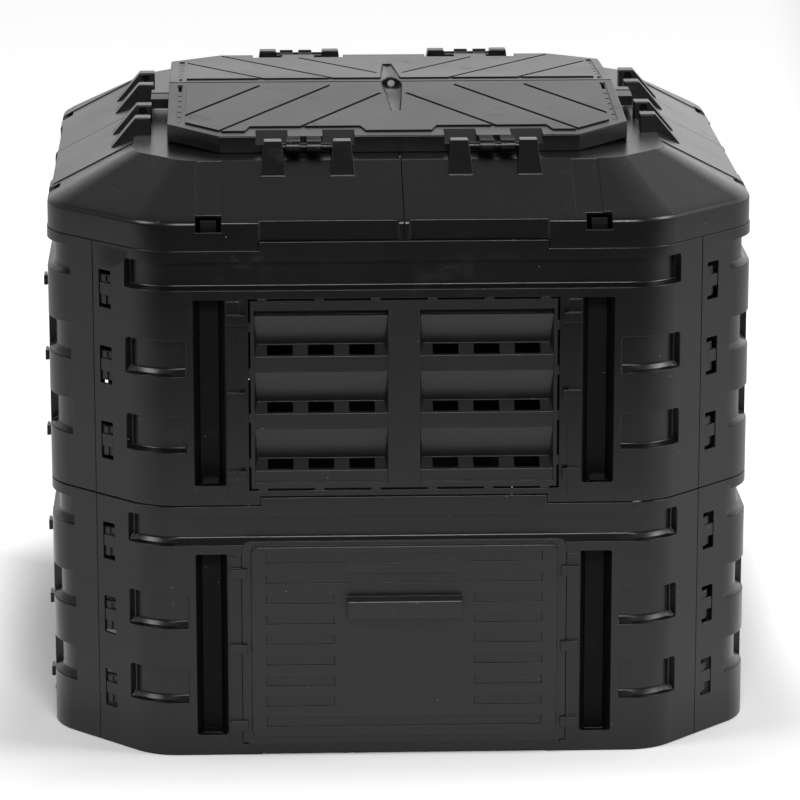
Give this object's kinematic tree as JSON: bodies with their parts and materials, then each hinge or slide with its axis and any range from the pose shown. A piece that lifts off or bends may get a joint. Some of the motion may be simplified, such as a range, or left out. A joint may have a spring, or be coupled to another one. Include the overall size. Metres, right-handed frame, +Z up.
{
  "type": "compost bin",
  "caption": "Garden compost bin, square with chamfered corners, of snap-together louvred wall panels, with a sloping hood, a gabled lid of hinged flaps and a sliding emptying hatch.",
  "frame": {"origin": "on the ground, in the middle of the bin's square plan", "axes": "+Z up, -Y towards the side with the hatch, +X to the right of someone who faces that side"},
  "size_m": [0.916, 0.9368, 0.7959],
  "materials": {
    "black_plastic": "satin moulded polypropylene"
  },
  "bodies": {
    "bin": {"lower_front_panel": "black_plastic", "lower_right_panel": "black_plastic", "lower_rear_panel": "black_plastic", "lower_left_panel": "black_plastic", "upper_front_panel": "black_plastic", "upper_right_panel": "black_plastic", "upper_rear_panel": "black_plastic", "upper_left_panel": "black_plastic", "upper_front_louvre": "black_plastic", "upper_right_louvre": "black_plastic", "upper_rear_louvre": "black_plastic", "upper_left_louvre": "black_plastic", "lower_right_louvre": "black_plastic", "lower_rear_louvre": "black_plastic", "lower_left_louvre": "black_plastic", "hood_front_left": "black_plastic", "hood_front_right": "black_plastic", "hood_rear_right": "black_plastic", "hood_rear_left": "black_plastic"},
    "front_lid": {"front_flap": "black_plastic"},
    "rear_lid": {"rear_flap": "black_plastic"},
    "hatch": {"hatch_door": "black_plastic"}
  },
  "joints": [
    {"name": "front_flap_hinge", "type": "hinge", "parent": "bin", "child": "front_lid", "pos_m": [0, -0.33, 0.767], "axis": [1, 0, 0], "range_deg": [0, 195]},
    {"name": "rear_flap_hinge", "type": "hinge", "parent": "bin", "child": "rear_lid", "pos_m": [0, 0.33, 0.767], "axis": [-1, 0, 0], "range_deg": [0, 195]},
    {"name": "hatch_slide", "type": "slide", "parent": "bin", "child": "hatch", "axis": [0, 0, 1], "range_m": [0, 0.25]}
  ]
}
